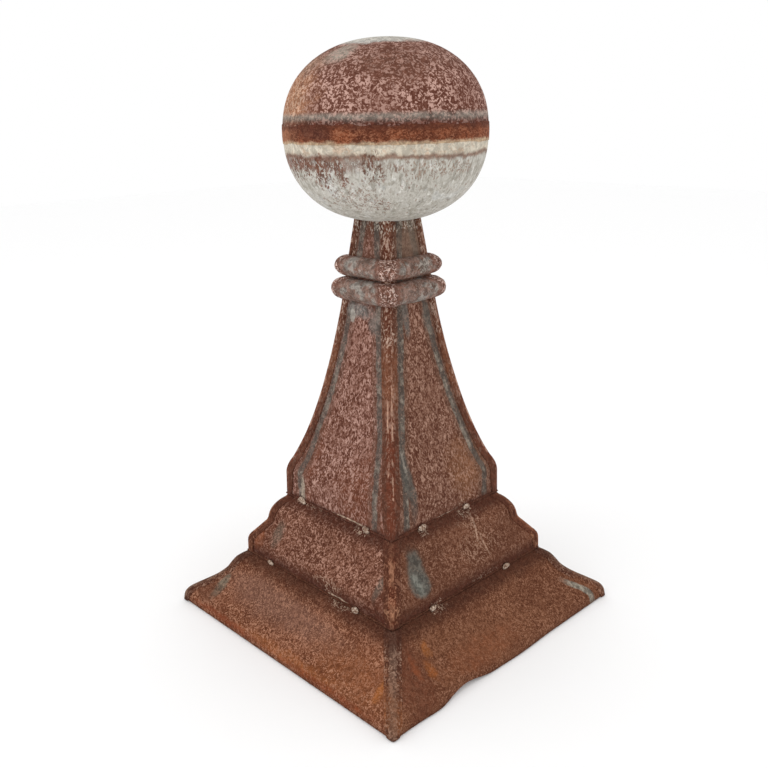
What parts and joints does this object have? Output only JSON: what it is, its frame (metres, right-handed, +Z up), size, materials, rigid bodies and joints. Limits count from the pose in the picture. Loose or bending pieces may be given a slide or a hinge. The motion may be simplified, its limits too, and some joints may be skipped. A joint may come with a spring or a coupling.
{
  "type": "garden obelisk",
  "caption": "Square stepped sheet-steel obelisk, probably once a roof finial: flared base, plinth, hollow tapering shaft with corner ribs, neck beads and a hollow ball on top.",
  "frame": {"origin": "middle of the square base, on the plane that its lower edge stands on", "axes": "+Z up through the ball, base edges along X and Y"},
  "size_m": [0.4096, 0.4096, 0.7142],
  "materials": {
    "rust_panel": "galvanised sheet steel rusted through to a dense brown and pink fleck, with grey zinc left beside the corners",
    "rust_rib": "red-brown rusted sheet steel, brighter orange where it was rubbed",
    "zinc_bead": "weathered grey zinc over sheet steel with rust breaking through at the corners",
    "zinc_ball": "pale grey oxidised zinc below, pitted brown rust above",
    "seam_rust": "thick orange-brown rust on a lapped seam",
    "solder": "dull pale grey solder"
  },
  "bodies": {
    "root": {"ball_lower_half": "zinc_ball", "ball_seam_belt": "seam_rust", "ball_upper_half": "zinc_ball", "base_corner_rib_back_left": "rust_rib", "base_corner_rib_back_right": "rust_rib", "base_corner_rib_front_left": "rust_rib", "base_corner_rib_front_right": "rust_rib", "base_panel_back": "rust_panel", "base_panel_front": "rust_panel", "base_panel_left": "rust_panel", "base_panel_right": "rust_panel", "base_top_solder_back_1": "solder", "base_top_solder_back_2": "solder", "base_top_solder_front_1": "solder", "base_top_solder_front_2": "solder", "base_top_solder_left_1": "solder", "base_top_solder_left_2": "solder", "base_top_solder_right_1": "solder", "base_top_solder_right_2": "solder", "lower_bead_back": "zinc_bead", "lower_bead_front": "zinc_bead", "lower_bead_left": "zinc_bead", "lower_bead_right": "zinc_bead", "plinth_corner_rib_back_left": "rust_rib", "plinth_corner_rib_back_right": "rust_rib", "plinth_corner_rib_front_left": "rust_rib", "plinth_corner_rib_front_right": "rust_rib", "plinth_panel_back": "rust_panel", "plinth_panel_front": "rust_panel", "plinth_panel_left": "rust_panel", "plinth_panel_right": "rust_panel", "plinth_top_solder_back_1": "solder", "plinth_top_solder_back_2": "solder", "plinth_top_solder_front_1": "solder", "plinth_top_solder_front_2": "solder", "plinth_top_solder_left_1": "solder", "plinth_top_solder_left_2": "solder", "plinth_top_solder_right_1": "solder", "plinth_top_solder_right_2": "solder", "shaft_corner_rib_back_left": "rust_rib", "shaft_corner_rib_back_right": "rust_rib", "shaft_corner_rib_front_left": "rust_rib", "shaft_corner_rib_front_right": "rust_rib", "shaft_panel_back": "rust_panel", "shaft_panel_front": "rust_panel", "shaft_panel_left": "rust_panel", "shaft_panel_right": "rust_panel", "upper_bead_back": "zinc_bead", "upper_bead_front": "zinc_bead", "upper_bead_left": "zinc_bead", "upper_bead_right": "zinc_bead"}
  },
  "joints": []
}
